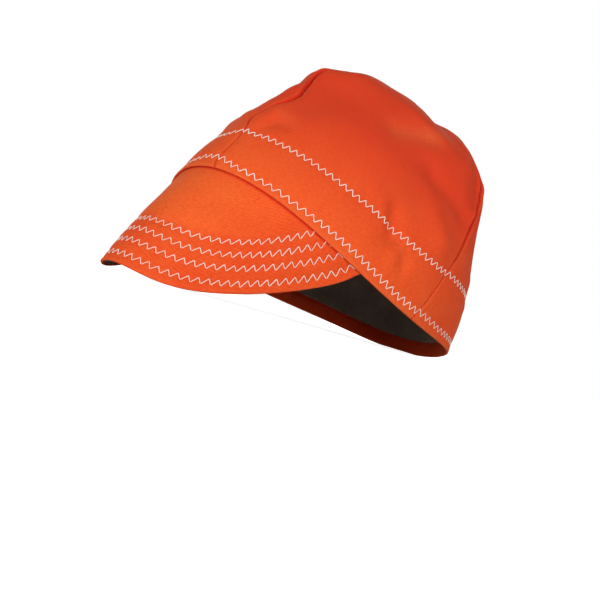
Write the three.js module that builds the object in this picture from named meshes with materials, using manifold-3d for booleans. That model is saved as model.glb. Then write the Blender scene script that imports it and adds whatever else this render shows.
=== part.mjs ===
// A welding cap: a soft four-panel cloth crown with a turned hem, a dark lining and a short
// drooping cloth peak, standing on the edge of its peak and on its nape.
// Millimetres, +Z up, the peak towards -Y and the wearer's left side towards +X.
// Most measures are given in the crown's own frame, where the lower edge of the cap lies
// about level; the whole cap is leaned back at the end until it stands on the floor.

import * as THREE from 'three';
import { mergeVertices } from 'three/addons/utils/BufferGeometryUtils.js';
import Module from 'manifold-3d';

// Cloth and clearances
const CLOTH = 1.4;             // outer cloth of the crown and the peak
const HEM = 2.5;               // outer cloth turned up double along a free edge
const HEM_DEPTH = 8;           // height of the turned strip inside the lower edge
const LINING = 1.0;            // dark cloth inside the crown
const PEAK_LINING = 1.2;       // dark cloth under the peak
const PARTING = 0.3;           // gap between neighbouring pieces
const LINING_EASE = 0.45;      // gap between the outer cloth and the lining inside it
const LEDGE = 0.25;            // height over which the folded strip thins out

// Crown
const CROWN_HEIGHT = 114.2;
const SEAM_GROOVE = 0.9;       // depth of the valley along each seam
const SEAM_GROOVE_WIDTH = 4;

// Peak
const PEAK_SPREAD = 64.2;      // degrees round the lower edge from the front seam to each end
const PEAK_INSET = 3.1;        // how far inside the crown's outer face the peak is sewn
const PEAK_TUCK = 6.5;         // how far the peak runs up behind the hem
const PEAK_FOLD = 2.5;         // width of the folded strip under the peak's edge
const PEAK_SWELL = 2.2;        // outward swell of the middle of the peak

// Stand
const LEAN = -16.4;            // degrees the cap leans back to stand on its peak and nape
const PRESSED = 0.8;           // cloth pressed flat where the cap stands

// Levels of the crown, from the lower edge to the top: share of the height, reach to the
// front and to the back, half width, shift to the back, and roundness of the outline,
// where 2 is an ellipse and 1 a lozenge with its corners on the seams.
const LEVELS = [
  { height: 0.00, front: 105.0, back: 106.2, half: 78.3, shift: 0.0, round: 2.00 },
  { height: 0.08, front: 102.7, back: 105.3, half: 79.8, shift: 0.0, round: 1.90 },
  { height: 0.25, front: 98.9, back: 92.4, half: 81.7, shift: 2.7, round: 1.79 },
  { height: 0.45, front: 92.5, back: 68.2, half: 79.3, shift: 5.6, round: 1.68 },
  { height: 0.65, front: 83.1, back: 44.7, half: 73.0, shift: 10.9, round: 1.57 },
  { height: 0.82, front: 69.3, back: 25.9, half: 58.6, shift: 8.5, round: 1.46 },
  { height: 0.94, front: 41.1, back: 12.2, half: 29.9, shift: 11.0, round: 1.35 },
  { height: 1.00, front: 0.0, back: 0.0, half: 0.0, shift: 10.5, round: 1.24 },
];

// Rise and fall of the lower edge, as waves round the head; they die out towards the top.
const EDGE_WAVES = [
  { turns: 2, rise: 6.97 },
  { turns: 3, rise: 1.93 },
  { turns: 4, rise: -0.88 },
];

// Course of the two seams that wander, in degrees from their straight place, by share of
// the way up from the lower edge.
const SEAM_COURSE = [
  { up: 0.00, front: 2.0, left: -1.0 },
  { up: 0.15, front: 1.5, left: -0.5 },
  { up: 0.29, front: 0.0, left: 0.5 },
  { up: 0.36, front: -4.0, left: 1.5 },
  { up: 0.43, front: 5.0, left: 1.0 },
  { up: 0.51, front: 7.0, left: 1.5 },
  { up: 0.61, front: -3.5, left: 6.0 },
  { up: 0.70, front: -5.0, left: 6.0 },
  { up: 0.85, front: -2.0, left: 2.0 },
  { up: 1.00, front: 0.0, left: 0.0 },
];

// Soft swells and dents of the cloth: where round the head (degrees from the front towards
// the wearer's left), share of the way up, spread both ways, and how far out or in.
const SWELLS = [
  { side: -7, up: 0.50, wide: 9, tall: 0.09, out: 3.2 },
  { side: 14, up: 0.46, wide: 8, tall: 0.07, out: -1.6 },
  { side: 106, up: 0.58, wide: 9, tall: 0.12, out: 3.0 },
  { side: 86, up: 0.60, wide: 6, tall: 0.10, out: -1.8 },
  { side: 68, up: 0.41, wide: 8, tall: 0.05, out: -2.0 },
  { side: 75, up: 0.31, wide: 9, tall: 0.05, out: 1.6 },
  { side: 62, up: 0.23, wide: 3, tall: 0.06, out: -1.2 },
  { side: 72, up: 0.20, wide: 3, tall: 0.05, out: -1.0 },
  { side: 62, up: 0.76, wide: 16, tall: 0.08, out: -3.0 },
  { side: 150, up: 0.45, wide: 14, tall: 0.09, out: -2.2 },
  { side: 215, up: 0.52, wide: 16, tall: 0.10, out: 2.0 },
  { side: 290, up: 0.50, wide: 12, tall: 0.09, out: -2.2 },
];

// Outer edge of the peak on the wearer's left, from the middle to the end; the right half
// is its mirror image.
const PEAK_EDGE = [
  { along: 0.00, x: 0.0, y: -127.6, z: -67.8 },
  { along: 0.30, x: 26.5, y: -111.1, z: -66.6 },
  { along: 0.60, x: 47.5, y: -74.6, z: -46.6 },
  { along: 0.85, x: 62.5, y: -48.3, z: -23.0 },
  { along: 1.00, x: 69.6, y: -45.9, z: -17.0 },
];

// Rows of facets
const CROWN_ROWS = [0, 0.065, 0.14, 0.2, 0.26, 0.32, 0.38, 0.44, 0.5, 0.56, 0.62, 0.68, 0.75, 0.82, 0.89, 0.95, 0.985];
const PANEL_COLUMNS = [0, 0.04, 0.1, 0.19, 0.3, 0.42, 0.54, 0.66, 0.77, 0.86, 0.93, 0.97, 1];
const PEAK_COLUMNS = 34;
const PEAK_ROWS = [0, 0.14, 0.3, 0.46, 0.62, 0.78, 0.9];

const PANELS = [
  { name: 'crown_front_left', from: 'front', to: 'left' },
  { name: 'crown_back_left', from: 'left', to: 'back' },
  { name: 'crown_back_right', from: 'back', to: 'right' },
  { name: 'crown_front_right', from: 'right', to: 'front' },
];
const SEAM_PLACE = { front: 0, left: 90, back: 180, right: 270 };

const rad = THREE.MathUtils.degToRad;
const clamp = THREE.MathUtils.clamp;
const lerp = THREE.MathUtils.lerp;

// A natural cubic spline through the values at the given places.
function smooth(places, values) {
  const n = places.length;
  const bend = new Array(n).fill(0);
  const carry = new Array(n).fill(0);
  for (let i = 1; i < n - 1; i++) {
    const before = places[i] - places[i - 1];
    const after = places[i + 1] - places[i];
    const p = 2 * (before + after) - before * carry[i - 1];
    const turn = (values[i + 1] - values[i]) / after - (values[i] - values[i - 1]) / before;
    carry[i] = after / p;
    bend[i] = (6 * turn - before * bend[i - 1]) / p;
  }
  for (let i = n - 2; i > 0; i--) bend[i] -= carry[i] * bend[i + 1];
  return (at) => {
    let i = 0;
    while (i < n - 2 && at > places[i + 1]) i++;
    const span = places[i + 1] - places[i];
    const b = (at - places[i]) / span;
    const a = 1 - b;
    const curve = (a ** 3 - a) * bend[i] + (b ** 3 - b) * bend[i + 1];
    return a * values[i] + b * values[i + 1] + curve * span * span / 6;
  };
}

const column = (table, name) => table.map((row) => row[name]);
const evenly = LEVELS.map((row, i) => i / (LEVELS.length - 1));
const level = {};
for (const name of ['height', 'front', 'back', 'half', 'shift', 'round']) {
  level[name] = smooth(evenly, column(LEVELS, name));
}
const course = {
  front: smooth(column(SEAM_COURSE, 'up'), column(SEAM_COURSE, 'front')),
  left: smooth(column(SEAM_COURSE, 'up'), column(SEAM_COURSE, 'left')),
  back: () => 0,
  right: () => 0,
};

// Degrees round the head at which a seam lies, at a share of the way up.
const seamAt = (seam, up) => SEAM_PLACE[seam] + course[seam](up);

function power(value, exponent) {
  return Math.sign(value) * Math.abs(value) ** exponent;
}

// The crown before its seams, swells and dents.
function plainCrown(side, up) {
  const a = rad(side);
  const exponent = 2 / level.round(up);
  const across = power(Math.sin(a), exponent);
  const ahead = power(Math.cos(a), exponent);
  const reach = ahead > 0 ? level.front(up) : level.back(up);
  let z = level.height(up) * CROWN_HEIGHT;
  for (const wave of EDGE_WAVES) {
    z += wave.rise * (Math.cos(wave.turns * a) - 1) * (1 - up);
  }
  return new THREE.Vector3(level.half(up) * across, level.shift(up) - reach * ahead, z);
}

function outward(side, up) {
  const turn = 2.5;
  const step = 0.012;
  const low = Math.max(up - step, 0);
  const high = Math.min(up + step, 0.985);
  const round = plainCrown(side + turn, up).sub(plainCrown(side - turn, up));
  const climb = plainCrown(side, high).sub(plainCrown(side, low));
  return round.cross(climb).normalize();
}

// Shortest turn between two directions round the head, in degrees.
function turnBetween(a, b) {
  return ((a - b + 540) % 360) - 180;
}

function relief(side, up) {
  let out = 0;
  for (const swell of SWELLS) {
    const across = turnBetween(side, swell.side) / swell.wide;
    const along = (up - swell.up) / swell.tall;
    out += swell.out * Math.exp(-across * across - along * along);
  }
  const radius = Math.min(level.half(up), 80);
  for (const seam of Object.keys(SEAM_PLACE)) {
    const away = rad(turnBetween(side, seamAt(seam, up))) * radius / SEAM_GROOVE_WIDTH;
    out -= SEAM_GROOVE * Math.exp(-away * away) * clamp(up / 0.12, 0, 1);
  }
  return out * clamp((1 - up) / 0.1, 0, 1);
}

// A point of the crown, at a depth below its outer face. The direction of the depth may be
// taken at another place, so that both panels at a seam thicken along the same line.
function crownPoint(side, up, depth, depthSide = side) {
  const point = plainCrown(side, up);
  point.addScaledVector(outward(side, up), relief(side, up));
  return point.addScaledVector(outward(depthSide, up), -depth);
}

// Degrees by which a panel stops short of its seam.
function shortOfSeam(seamSide, up, direction) {
  const seam = crownPoint(seamSide, up, 0);
  let low = 0;
  let high = 40;
  for (let i = 0; i < 30; i++) {
    const middle = (low + high) / 2;
    const away = crownPoint(seamSide + direction * middle, up, 0).distanceTo(seam);
    if (away < PARTING * 0.6) low = middle;
    else high = middle;
  }
  return direction * high;
}

// Sides of one panel's facet columns at a share of the way up.
function panelSides(panel, up) {
  const from = seamAt(panel.from, up);
  let to = seamAt(panel.to, up);
  if (to < from) to += 360;
  const start = from + shortOfSeam(from, up, 1);
  const end = to + shortOfSeam(to, up, -1);
  return PANEL_COLUMNS.map((share) => ({
    side: lerp(start, end, share),
    depthSide: share === 0 ? from : share === 1 ? to : lerp(start, end, share),
  }));
}

// A closed shell between an outer and an inner grid of points, both listed row by row.
// A row of one repeated point closes to a tip. A ring joins its last column to its first.
function shell(outer, inner, ring = false) {
  const rows = outer.length;
  const columns = outer[0].length;
  const points = [];
  for (const grid of [outer, inner]) {
    for (const row of grid) {
      for (const point of row) points.push(point.x, point.y, point.z);
    }
  }
  const at = (layer, r, c) => (layer * rows + r) * columns + (c % columns);
  const index = [];
  const quad = (a, b, c, d) => index.push(a, b, c, a, c, d);
  const last = ring ? columns : columns - 1;
  for (let r = 0; r < rows - 1; r++) {
    for (let c = 0; c < last; c++) {
      quad(at(0, r, c), at(0, r, c + 1), at(0, r + 1, c + 1), at(0, r + 1, c));
      const a = at(1, r, c);
      const b = at(1, r, c + 1);
      const d = at(1, r + 1, c);
      const e = at(1, r + 1, c + 1);
      index.push(a, e, b, a, d, e);
    }
    if (!ring) {
      quad(at(1, r, 0), at(0, r, 0), at(0, r + 1, 0), at(1, r + 1, 0));
      quad(at(0, r, last), at(1, r, last), at(1, r + 1, last), at(0, r + 1, last));
    }
  }
  const top = rows - 1;
  for (let c = 0; c < last; c++) {
    quad(at(1, 0, c), at(1, 0, c + 1), at(0, 0, c + 1), at(0, 0, c));
    quad(at(0, top, c), at(0, top, c + 1), at(1, top, c + 1), at(1, top, c));
  }
  const geometry = new THREE.BufferGeometry();
  geometry.setAttribute('position', new THREE.Float32BufferAttribute(points, 3));
  geometry.setIndex(index);
  return withoutSlivers(mergeVertices(geometry, 1e-4));
}

function withoutSlivers(geometry) {
  const from = geometry.index.array;
  const kept = [];
  for (let i = 0; i < from.length; i += 3) {
    const [a, b, c] = [from[i], from[i + 1], from[i + 2]];
    if (a !== b && b !== c && c !== a) kept.push(a, b, c);
  }
  geometry.setIndex(kept);
  return geometry;
}

// Share of the way up at which the turned strip inside the lower edge ends.
const hemShare = HEM_DEPTH / (CROWN_HEIGHT * LEVELS[1].height * (LEVELS.length - 1));
const ledgeShare = hemShare * LEDGE / HEM_DEPTH;

function withHem(rows) {
  const above = rows.filter((up) => up > hemShare + 0.02);
  return [0, hemShare, hemShare + ledgeShare, ...above];
}

const tip = (depth, x = 0, y = 0) => {
  const top = plainCrown(0, 1);
  return new THREE.Vector3(top.x + x, top.y + y, top.z - depth);
};

function crownPanel(panel) {
  const rows = withHem(CROWN_ROWS);
  const outer = [];
  const inner = [];
  for (const up of rows) {
    const sides = panelSides(panel, up);
    const depth = up <= hemShare ? HEM : CLOTH;
    outer.push(sides.map((s) => crownPoint(s.side, up, 0)));
    inner.push(sides.map((s) => crownPoint(s.side, up, depth, s.depthSide)));
  }
  const middle = rad((SEAM_PLACE[panel.from] + SEAM_PLACE[panel.to] + (panel.to === 'front' ? 360 : 0)) / 2);
  const x = PARTING * Math.sin(middle);
  const y = -PARTING * Math.cos(middle);
  outer.push(PANEL_COLUMNS.map(() => tip(0, x, y)));
  inner.push(PANEL_COLUMNS.map(() => tip(CLOTH, x, y)));
  return shell(outer, inner);
}

// The lining follows the same facets, so that it lies evenly inside the panels.
function crownLining() {
  const rows = withHem(CROWN_ROWS).filter((up) => up > hemShare);
  rows[0] += 2 * ledgeShare;
  const outer = [];
  const inner = [];
  const near = CLOTH + LINING_EASE;
  for (const up of rows) {
    const sides = PANELS.flatMap((panel) => panelSides(panel, up));
    outer.push(sides.map((s) => crownPoint(s.side, up, near, s.depthSide)));
    inner.push(sides.map((s) => crownPoint(s.side, up, near + LINING, s.depthSide)));
  }
  const count = outer[0].length;
  outer.push(new Array(count).fill(tip(near + PARTING)));
  inner.push(new Array(count).fill(tip(near + PARTING + LINING)));
  return shell(outer, inner, true);
}

// Outer edge of the peak at a share of the way from its middle to an end, -1 to 1.
const mirrored = [
  ...PEAK_EDGE.slice(1).reverse().map((row) => ({ ...row, along: -row.along, x: -row.x })),
  ...PEAK_EDGE,
];
const edge = {};
for (const name of ['x', 'y', 'z']) {
  edge[name] = smooth(column(mirrored, 'along'), column(mirrored, name));
}

// A line down the peak at one place along it: points with their share of the way and the
// length of cloth left before the edge.
function peakLine(along) {
  const side = along * PEAK_SPREAD;
  const root = crownPoint(side, 0, PEAK_INSET);
  root.z -= 0.4;
  const end = new THREE.Vector3(edge.x(along), edge.y(along), edge.z(along));
  return { side, root, end, length: root.distanceTo(end) };
}

function peakOutward(along) {
  const step = 0.04;
  const here = peakLine(along);
  const left = peakLine(Math.min(along + step, 1));
  const right = peakLine(Math.max(along - step, -1));
  const down = here.end.clone().sub(here.root);
  const acrossRoot = left.root.clone().sub(right.root);
  const acrossEnd = left.end.clone().sub(right.end);
  const across = acrossRoot.normalize().add(acrossEnd.normalize());
  return down.cross(across).normalize();
}

function peakPoint(along, share, depth) {
  const line = peakLine(along);
  const out = peakOutward(along);
  const middle = Math.cos(along * Math.PI / 2) ** 2;
  const swell = PEAK_SWELL * middle * 4 * share * (1 - share);
  return line.root.clone().lerp(line.end, share).addScaledVector(out, swell - depth);
}

// The strip of the peak that runs up behind the hem.
function tuckPoint(along, rise, depth) {
  const side = along * PEAK_SPREAD;
  const share = rise / HEM_DEPTH * hemShare;
  return crownPoint(side, share, PEAK_INSET + depth);
}

function peakGrid(depthAt, lastFold) {
  const grid = [];
  const columns = [];
  for (let c = 0; c <= PEAK_COLUMNS; c++) columns.push(2 * c / PEAK_COLUMNS - 1);
  const spread = columns.map((share) => Math.sin(share * Math.PI / 2) * 0.35 + share * 0.65);
  for (const rise of [PEAK_TUCK, PEAK_TUCK / 2]) {
    grid.push(spread.map((along) => tuckPoint(along, rise, depthAt(false))));
  }
  for (const share of PEAK_ROWS) {
    grid.push(spread.map((along) => {
      const length = peakLine(along).length;
      const fold = Math.min(PEAK_FOLD + LEDGE, 0.4 * length) / length;
      return peakPoint(along, share / PEAK_ROWS.at(-1) * (1 - fold), depthAt(false));
    }));
  }
  for (const fold of lastFold) {
    grid.push(spread.map((along) => {
      const length = peakLine(along).length;
      return peakPoint(along, 1 - Math.min(fold, 0.3 * length) / length, depthAt(true));
    }));
  }
  return grid.reverse();
}

function peakTop() {
  const outer = peakGrid(() => 0, [PEAK_FOLD, 0]);
  const inner = peakGrid((folded) => (folded ? HEM : CLOTH), [PEAK_FOLD, 0]);
  return shell(outer, inner);
}

function peakLining() {
  const near = CLOTH + PARTING;
  const outer = peakGrid(() => near, []);
  const inner = peakGrid(() => near + PEAK_LINING, []);
  for (const grid of [outer, inner]) {
    const lowest = grid[0];
    const next = grid[1];
    lowest.forEach((point, i) => point.lerp(next[i], clamp(PARTING / Math.max(point.distanceTo(next[i]), 0.5), 0, 0.6)));
  }
  return shell(outer, inner);
}

// Lean the cap back, then press flat what would lie below the floor.
function stand(geometry, lift) {
  geometry.rotateX(rad(LEAN));
  geometry.translate(0, 0, lift);
  return geometry;
}

const wasm = await Module();
wasm.setup();

function toSolid(geometry) {
  return new wasm.Manifold(new wasm.Mesh({
    numProp: 3,
    vertProperties: new Float32Array(geometry.attributes.position.array),
    triVerts: new Uint32Array(geometry.index.array),
  }));
}

function pressed(geometry) {
  const floor = wasm.Manifold.cube([600, 600, 100], true).translate([0, 0, -50]);
  const mesh = toSolid(geometry).subtract(floor).getMesh();
  const result = new THREE.BufferGeometry();
  result.setAttribute('position', new THREE.BufferAttribute(mesh.vertProperties, 3));
  result.setIndex(new THREE.BufferAttribute(mesh.triVerts, 1));
  return result;
}

function lowest(geometries) {
  let z = Infinity;
  for (const geometry of geometries) {
    geometry.computeBoundingBox();
    z = Math.min(z, geometry.boundingBox.min.z);
  }
  return z;
}

const ORANGE = new THREE.MeshStandardMaterial({ color: 0xe2492a, roughness: 0.92, metalness: 0 });
const CHARCOAL = new THREE.MeshStandardMaterial({ color: 0x3a302b, roughness: 0.95, metalness: 0 });
ORANGE.name = 'orange twill';
CHARCOAL.name = 'dark lining cloth';

const pieces = [
  ...PANELS.map((panel) => ({ name: panel.name, geometry: crownPanel(panel), material: ORANGE })),
  { name: 'crown_lining', geometry: crownLining(), material: CHARCOAL },
  { name: 'peak_top', geometry: peakTop(), material: ORANGE },
  { name: 'peak_lining', geometry: peakLining(), material: CHARCOAL },
];

for (const piece of pieces) stand(piece.geometry, 0);
const drop = -lowest(pieces.map((piece) => piece.geometry)) - PRESSED;

const cap = new THREE.Group();
cap.name = 'welding_cap';
for (const piece of pieces) {
  let geometry = piece.geometry.translate(0, 0, drop);
  geometry.computeBoundingBox();
  if (geometry.boundingBox.min.z < 0) geometry = pressed(geometry);
  geometry.computeVertexNormals();
  const mesh = new THREE.Mesh(geometry, piece.material);
  mesh.name = piece.name;
  cap.add(mesh);
}

// Origin at the middle of the footprint, on the floor.
const box = new THREE.Box3().setFromObject(cap);
for (const mesh of cap.children) {
  mesh.geometry.translate(-(box.min.x + box.max.x) / 2, -(box.min.y + box.max.y) / 2, -box.min.z);
}

export default cap;
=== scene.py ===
"""A welding cap standing on the edge of its peak and on its nape.

The cloth is built in millimetres in the crown's own frame, where the lower edge of the cap lies
about level, with the peak towards -Y and the wearer's left side towards +X. It is then leaned
back onto the floor and scaled to metres.

A place on the crown is a side, in degrees round the head from the front to the wearer's left,
and a share of the way up. A place on the peak is a share along it, from -1 at the wearer's right
end to 1 at the left end, and a share of the way from its root to its edge.
"""

import math

import bpy
import numpy as np
from mathutils import Matrix


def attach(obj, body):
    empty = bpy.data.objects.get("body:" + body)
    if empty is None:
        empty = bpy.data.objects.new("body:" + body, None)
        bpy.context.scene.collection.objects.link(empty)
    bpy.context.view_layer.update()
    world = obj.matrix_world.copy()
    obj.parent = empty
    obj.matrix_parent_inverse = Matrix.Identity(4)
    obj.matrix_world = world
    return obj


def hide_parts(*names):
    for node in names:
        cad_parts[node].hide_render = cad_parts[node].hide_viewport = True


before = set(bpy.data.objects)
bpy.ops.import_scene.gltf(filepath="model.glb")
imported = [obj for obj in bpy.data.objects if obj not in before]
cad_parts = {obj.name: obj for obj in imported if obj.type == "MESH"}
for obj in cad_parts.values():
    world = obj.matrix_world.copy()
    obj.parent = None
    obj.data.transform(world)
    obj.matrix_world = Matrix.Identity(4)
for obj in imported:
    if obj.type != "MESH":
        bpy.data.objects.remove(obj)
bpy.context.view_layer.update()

# Measures, in millimetres and degrees
MM = 0.001
CLOTH = 1.0                 # outer cloth
HEM = 1.6                   # outer cloth turned up double along a free edge
HEM_DEPTH = 8.0             # height of the turned strip inside the lower edge
LINING = 1.0
PEAK_LINING = 1.2
LINING_EASE = 0.45          # gap between the outer cloth and the crown's lining
PEAK_GAP = 0.3              # gap between the two layers of the peak
SEAM_GAP = 0.01             # half the gap between two panels

CROWN_HEIGHT = 114.2
SEAM_GROOVE = 0.9
SEAM_GROOVE_WIDTH = 4.0

PEAK_SPREAD = 64.3          # from the front seam to each end of the peak
PEAK_INSET = 1.75
PEAK_TUCK = 6.5             # how far the peak runs up behind the hem
PEAK_ROOT = 0.25            # height of the peak's root above the rim
PEAK_ROOT_RISE = 0.55       # how much higher the peak's ends are sewn in
PEAK_FOLD = 2.5
PEAK_SWELL = 2.2
PEAK_GRAIN = 25             # the peak's cloth is cut aslant
RAW_EDGE = 0.55             # from the folded strip to the raw edge of the peak's lining

LEAN = -16.4
STAND = (-0.199, 19.662, 32.888)     # from the leaned crown's frame to the cap's own
FLOOR_GAP = 0.03

CROWN_STITCH = 3.05         # width of the zigzag rows
PEAK_STITCH = 3.3
PEAK_PITCH = 4.85
THREAD = 0.225              # radius of the thread
PEAK_THREAD = 0.19
UNDER_THREAD = 0.34

# The crown's levels, bottom to top: its height, its reach to the front and to the back, half its
# width, its shift backwards, and how round it is (2 is an oval, less has fuller corners).
LEVEL_COLUMNS = ("height", "front", "back", "half", "shift", "round")
LEVELS = (
    (0.00, 105.0, 106.2, 78.3, 0.0, 2.00),
    (0.08, 102.7, 105.3, 79.8, 0.0, 1.90),
    (0.25, 98.9, 92.4, 81.7, 2.7, 1.79),
    (0.45, 92.5, 68.2, 79.3, 5.6, 1.68),
    (0.65, 83.1, 44.7, 73.0, 10.9, 1.57),
    (0.82, 69.3, 25.9, 58.6, 8.5, 1.46),
    (0.94, 41.1, 12.2, 29.9, 11.0, 1.35),
    (1.00, 0.0, 0.0, 0.0, 10.5, 1.24),
)
# Waves of the lower edge: turns round the head, rise.
EDGE_WAVES = ((2, 6.97), (3, 1.93), (4, -0.88))
# Share of the way up, then how far the front and the left seam wander, in degrees.
SEAM_COURSE = (
    (0.00, 3.0, -1.4), (0.15, 0.9, 0.0), (0.29, -1.2, 0.8), (0.36, -5.5, 3.4), (0.43, 0.8, 3.8),
    (0.51, 4.2, 6.0), (0.61, -4.4, 9.5), (0.70, -5.8, 7.0), (0.85, -2.6, 2.4), (1.00, 0.0, 0.0),
)
# Swells and dents: side, up, spread round, spread up, height.
SWELLS = (
    (-7, 0.50, 9, 0.09, 3.2), (14, 0.46, 8, 0.07, -1.6), (106, 0.58, 9, 0.12, 3.0),
    (86, 0.60, 6, 0.10, -1.8), (68, 0.41, 8, 0.05, -2.0), (75, 0.31, 9, 0.05, 1.6),
    (62, 0.23, 3, 0.06, -1.2), (72, 0.20, 3, 0.05, -1.0), (62, 0.76, 16, 0.08, -3.0),
    (150, 0.45, 14, 0.09, -2.2), (215, 0.52, 16, 0.10, 2.0), (290, 0.50, 12, 0.09, -2.2),
)
# Soft folds: from side, up, to side, up, then width and height.
FOLDS = (
    (43, 0.565, 58, 0.63, 7, -1.5), (60, 0.575, 84, 0.65, 8, 1.2), (63, 0.505, 81, 0.475, 7.5, -3),
    (70, 0.4, 78, 0.34, 8, 3), (20, 0.6, 38, 0.69, 10, -0.8), (34, 0.5, 50, 0.44, 11, 0.8),
    (59, 0.315, 65, 0.235, 4.2, -2.4), (50, 0.34, 56, 0.31, 5, 0.8), (68, 0.245, 73, 0.2, 3.2, -1),
    (64, 0.215, 66, 0.15, 3.2, -0.5), (69, 0.2, 71, 0.13, 3.2, 0.4), (74, 0.185, 76, 0.13, 3.2, -0.4),
    (7, 0.3, 11, 0.35, 3.8, -1.2), (10, 0.37, 16, 0.35, 4.5, -1.3), (4.5, 0.395, 6.5, 0.375, 3.4, 1.3),
    (-16, 0.385, -13, 0.38, 4, 0.7), (-12, 0.405, -10, 0.4, 2.4, -0.5), (121, 0.33, 127, 0.26, 3, 0.7),
    (134, 0.56, 152, 0.62, 8, -1.8), (142, 0.4, 160, 0.34, 8, 1.4), (166, 0.26, 170, 0.19, 2.8, -0.7),
    (196, 0.36, 214, 0.42, 8, 1.5), (205, 0.56, 224, 0.64, 7.5, -2), (231, 0.3, 236, 0.23, 2.8, -0.8),
    (243, 0.42, 254, 0.5, 7, -1.5), (262, 0.3, 258, 0.23, 2.6, 0.6), (276, 0.56, 290, 0.48, 7.5, 1.6),
    (291, 0.33, 296, 0.24, 2.8, -0.9), (298, 0.56, 316, 0.64, 7.5, -2.2), (300, 0.3, 303, 0.22, 2.6, 0.6),
    (318, 0.42, 332, 0.37, 7.5, 1.2), (328, 0.58, 340, 0.49, 6, -1),
)
# Short soft strokes of one width, level ones and upright ones: side, up, height.
STROKE_WIDTH, STROKE_ROUND, STROKE_UP = 7.5, 12, 0.09
LEVEL_STROKES = (
    (119, 0.298, -0.5), (115, 0.344, 0.4), (106, 0.425, 0.3), (104, 0.482, -1.1), (100, 0.534, -1.5),
    (97, 0.585, -1.1), (-15, 0.654, 2.2), (-13, 0.551, -0.4), (-14, 0.488, -1.6), (-17, 0.448, -1.0),
    (-20, 0.396, -0.8), (-28, 0.310, -0.4),
)
UPRIGHT_STROKES = (
    (102, 0.592, -0.9), (102, 0.649, -0.8), (89, 0.707, 0.9), (77, 0.730, 2.0), (63, 0.672, 1.4),
    (55, 0.678, 1.8), (48, 0.707, 1.5), (40, 0.718, 0.8), (31, 0.718, 0.4), (20, 0.724, 0.9),
    (1, 0.661, -1.7), (-18, 0.311, 0.3),
)
# Places where a pale sheen is painted on the crown's cloth, in the folds' columns but the last: strength.
PAINTED_SHEEN_STROKES = (
    (44, 0.56, 56, 0.63, 7, 0.8), (56, 0.63, 64, 0.69, 5.5, 0.5), (98, 0.36, 112, 0.33, 8, 0.4),
    (195, 0.56, 212, 0.61, 7, 0.5), (310, 0.6, 325, 0.65, 7, 0.5), (8, 0.4, 14, 0.385, 4, 0.4),
)
# Ridges and creases along a seam: seam, distance to its left, width, from up, to up, height.
SEAM_FORMS = (
    ("front", -2.4, 1.9, 0.42, 0.82, 1.3), ("front", 0.0, 0.8, 0.40, 0.80, -1.0),
    ("left", 0.0, 0.9, 0.30, 0.67, -1.2), ("left", 3.6, 2.4, 0.35, 0.66, 0.7),
    ("left", -5.0, 3.6, 0.34, 0.55, 0.5),
    ("back", 0.0, 1.0, 0.34, 0.78, -1.0), ("back", -2.8, 2.2, 0.36, 0.76, 1.1),
    ("right", 0.0, 1.0, 0.32, 0.70, -1.2), ("right", -4.2, 2.8, 0.36, 0.66, 1.0),
)
# The crown's stitch rows: name, rise, first side, pitch.
CROWN_ROWS = (("stitch_row_lower", 5.63, 6.0, 5.0), ("stitch_row_upper", 26.41, 186.0, 4.45))
# How far the crown's stitch rows wander up: side, lower row, upper row.
ROW_SHIFTS = (
    (0, 1.2, 1.3), (4, 0.7, 0.6), (8, -0.8, 0.3), (12, -1.6, 0.7), (24, -2.0, 0.5), (38, -1.9, 0.3),
    (50, -1.1, -0.4), (62, -1.0, -0.4), (70, -1.6, -0.9), (78, -2.1, -0.8), (86, -1.7, 0.0),
    (92, -1.0, 1.2), (104, -1.4, 1.5), (118, -1.1, 1.8), (145, -1.6, 1.2), (180, -1.1, 0.9),
    (225, -1.7, 0.5), (270, -1.1, 0.8), (310, -1.5, 0.1), (335, -0.9, -0.6), (344, -0.4, -1.6),
    (348, 0.2, -2.1), (352, 1.1, -1.8), (357, 1.1, 0.2),
)
# Stitch length along the crown's rows as a share of the usual one: side, lower row, upper row.
STITCH_LENGTHS = (
    (0, 1.04, 1.0), (36, 1.04, 0.97), (45, 0.92, 0.96), (60, 0.92, 0.97), (70, 1.0, 1.06),
    (88, 1.06, 1.12), (96, 1.25, 1.32), (124, 1.25, 1.32), (145, 1.0, 1.0), (345, 1.0, 1.0),
)
# Outer edge of the peak's left half: share along, x, y, z.
PEAK_EDGE = (
    (0.00, 0.0, -127.6, -67.8), (0.30, 26.5, -111.1, -66.6), (0.60, 47.5, -74.6, -46.6),
    (0.85, 62.5, -48.3, -23.0), (1.00, 68.9, -44.5, -14.2),
)
PEAK_ROWS = (5.6, 13.9, 21.4, 28.8)          # distance of the peak's stitch rows from its edge
SEAMS = {"front": 0.0, "left": 90.0, "back": 180.0, "right": 270.0}
PANELS = (
    ("crown_front_left", "front", "left"),
    ("crown_back_left", "left", "back"),
    ("crown_back_right", "back", "right"),
    ("crown_front_right", "right", "front"),
)
# Uneven cloth: height, width of its swells, seed.
CROWN_UNEVEN = ((0.34, 24, 1), (0.13, 9, 2))
PEAK_UNEVEN = ((0.22, 17, 11), (0.1, 7, 12))
UNDER_UNEVEN = ((0.12, 3, 31), (0.25, 14, 32))
# Shares of the way up between which a form sets in.
GROOVE_STARTS = (0.0, 0.12)
GROOVE_DEEPENS = (0.27, 0.33)
ABOVE_BAND = (0.30, 0.34)

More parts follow.
